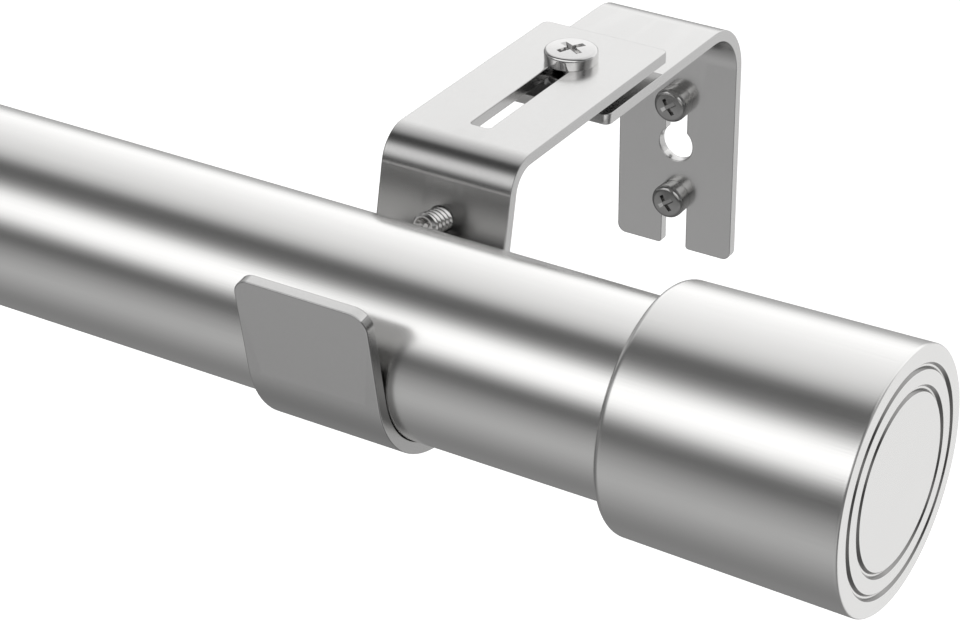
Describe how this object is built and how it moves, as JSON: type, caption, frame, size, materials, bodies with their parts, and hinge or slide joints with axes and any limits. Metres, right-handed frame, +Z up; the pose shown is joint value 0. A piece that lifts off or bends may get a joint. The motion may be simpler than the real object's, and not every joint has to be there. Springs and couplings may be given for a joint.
{
  "type": "extendable curtain rod",
  "caption": "Telescoping curtain rod on two adjustable wall brackets, with grooved screw-on end caps.",
  "frame": {"origin": "in the wall plane, midway between the two wall screws of the right bracket", "axes": "+X along the rod towards the right end cap, +Y into the wall, +Z up"},
  "size_m": [0.724, 0.107, 0.0451],
  "materials": {
    "rod_nickel": "satin brushed nickel plate",
    "cap_nickel": "satin brushed nickel plate",
    "bracket_nickel": "fine satin nickel plate",
    "screw_chrome": "bright plated steel",
    "bush_plastic": "moulded, pale grey"
  },
  "bodies": {
    "wall_right": {"wall_plate_right": "bracket_nickel", "wall_screw_upper_right": "screw_chrome", "wall_screw_lower_right": "screw_chrome"},
    "rod_outer": {"rod_arm_right": "bracket_nickel", "outer_tube": "rod_nickel", "mouth_bush": "bush_plastic", "cap_plug_right": "bush_plastic"},
    "clamp_right": {"clamp_screw_right": "screw_chrome"},
    "set_right": {"set_screw_right": "screw_chrome"},
    "cap_right": {"end_cap_right": "cap_nickel", "cap_stud_right": "screw_chrome"},
    "rod_inner": {"inner_tube": "rod_nickel", "tail_bush": "bush_plastic", "cap_sleeve": "bush_plastic", "cap_plug_left": "bush_plastic", "rod_arm_left": "bracket_nickel"},
    "set_left": {"set_screw_left": "screw_chrome"},
    "cap_left": {"end_cap_left": "cap_nickel", "cap_stud_left": "screw_chrome"},
    "wall_left": {"wall_plate_left": "bracket_nickel", "wall_screw_upper_left": "screw_chrome", "wall_screw_lower_left": "screw_chrome"},
    "clamp_left": {"clamp_screw_left": "screw_chrome"}
  },
  "joints": [
    {"name": "rod_projection", "type": "slide", "parent": "wall_right", "child": "rod_outer", "axis": [0, 1, 0], "range_m": [0, 0.018]},
    {"name": "clamp_screw_right_turn", "type": "hinge", "parent": "wall_right", "child": "clamp_right", "pos_m": [0, -0.0316, 0.02585], "axis": [0, 0, 1], "continuous": true},
    {"name": "set_screw_right_turn", "type": "hinge", "parent": "rod_outer", "child": "set_right", "pos_m": [0, -0.06374, 0.01665], "axis": [0, 0.9781, -0.2079], "continuous": true},
    {"name": "end_cap_right_turn", "type": "hinge", "parent": "rod_outer", "child": "cap_right", "pos_m": [0.066, -0.0784, 0.00925], "axis": [1, 0, 0], "continuous": true},
    {"name": "rod_extension", "type": "slide", "parent": "rod_outer", "child": "rod_inner", "axis": [-1, 0, 0], "range_m": [0, 0.508]},
    {"name": "set_screw_left_turn", "type": "hinge", "parent": "rod_inner", "child": "set_left", "pos_m": [-0.583, -0.06374, 0.01825], "axis": [0, 0.9781, -0.2079], "continuous": true},
    {"name": "end_cap_left_turn", "type": "hinge", "parent": "rod_inner", "child": "cap_left", "pos_m": [-0.649, -0.0784, 0.00925], "axis": [-1, 0, 0], "continuous": true},
    {"name": "wall_plate_left_slide", "type": "slide", "parent": "rod_inner", "child": "wall_left", "axis": [0, 1, 0], "range_m": [-0.018, 0]},
    {"name": "clamp_screw_left_turn", "type": "hinge", "parent": "wall_left", "child": "clamp_left", "pos_m": [-0.583, -0.0316, 0.02745], "axis": [0, 0, 1], "continuous": true}
  ],
  "couplings": [
    {"joint": "wall_plate_left_slide", "follows": "rod_projection", "ratio": -1}
  ]
}
